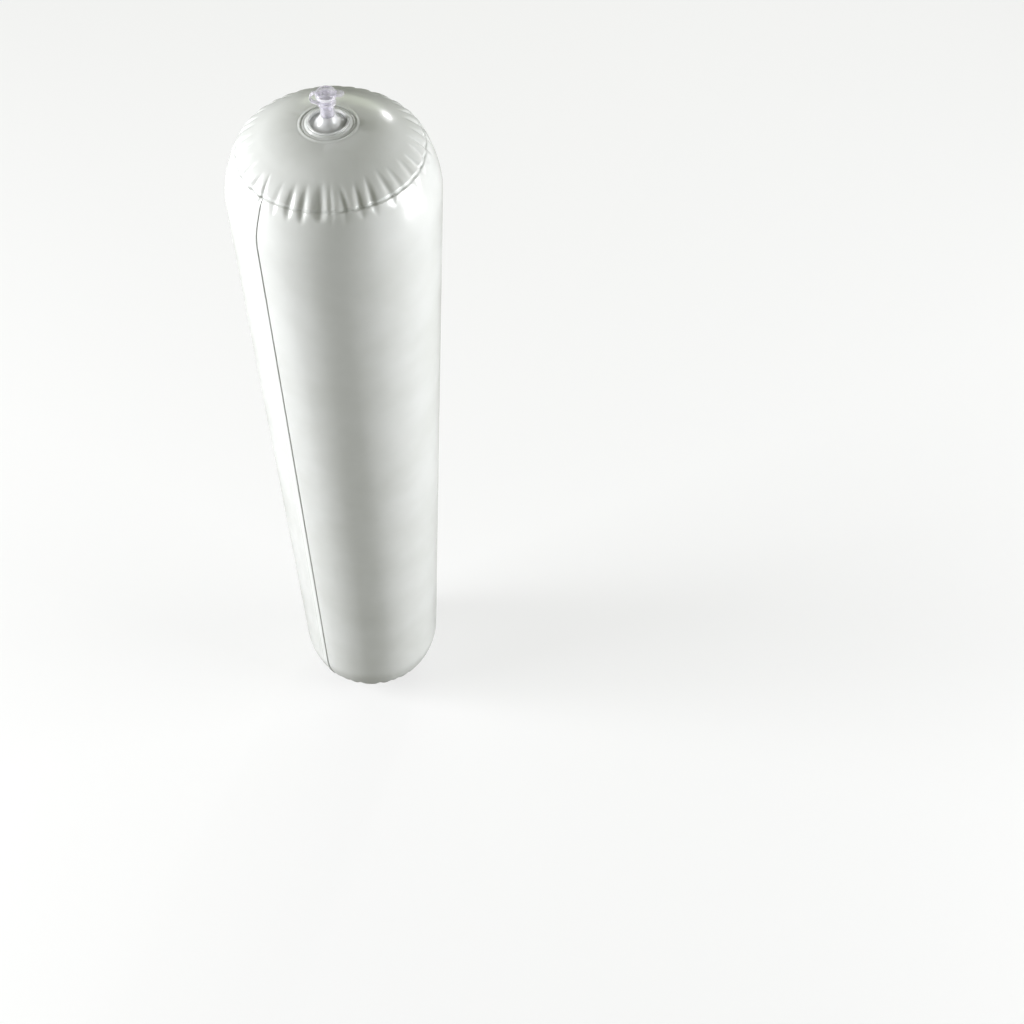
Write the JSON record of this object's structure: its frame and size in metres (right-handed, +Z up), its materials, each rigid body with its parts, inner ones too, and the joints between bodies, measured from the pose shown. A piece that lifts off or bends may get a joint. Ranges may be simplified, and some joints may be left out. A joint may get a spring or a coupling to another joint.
{
  "type": "boot shaper",
  "caption": "Inflatable boot shaper: a tapered column of welded film with puckered end seams and a push-in valve closed by a tethered plug.",
  "frame": {"origin": "lowest point of the bottom disc, on the air column's axis: the end that goes into the boot first", "axes": "+Z up the air column to the valve, -Y the side that faces the viewer in the picture, +X to the viewer's right"},
  "size_m": [0.12, 0.12, 0.5],
  "materials": {
    "film": "glossy white vinyl film, drawn tight by air",
    "seam": "fused vinyl film, slightly see-through",
    "valve": "clear soft vinyl with a faint violet tint"
  },
  "bodies": {
    "bladder": {"body_film": "film", "side_seam": "seam", "top_disc": "film", "top_seam": "seam", "bottom_disc": "film", "bottom_seam": "seam", "valve_flange": "valve", "valve_membrane": "valve"},
    "valve_stem": {"valve_neck": "valve", "strap_collar": "valve", "plug_strap": "valve"},
    "plug": {"valve_plug": "valve"},
    "flap": {"check_flap": "valve"}
  },
  "joints": [
    {"name": "valve_push", "type": "slide", "parent": "bladder", "child": "valve_stem", "axis": [0, 0, 1], "range_m": [-0.012, 0], "deforming": ["valve_membrane"]},
    {"name": "plug_lift", "type": "slide", "parent": "valve_stem", "child": "plug", "axis": [0, 0, 1], "range_m": [0, 0.008], "deforming": ["plug_strap"]},
    {"name": "flap_open", "type": "hinge", "parent": "valve_stem", "child": "flap", "pos_m": [-0.0035, 0, 0.48], "axis": [0, 1, 0], "range_deg": [0, 60], "stiffness_Nm_per_rad": 0.00002, "springref_deg": -11.46}
  ]
}
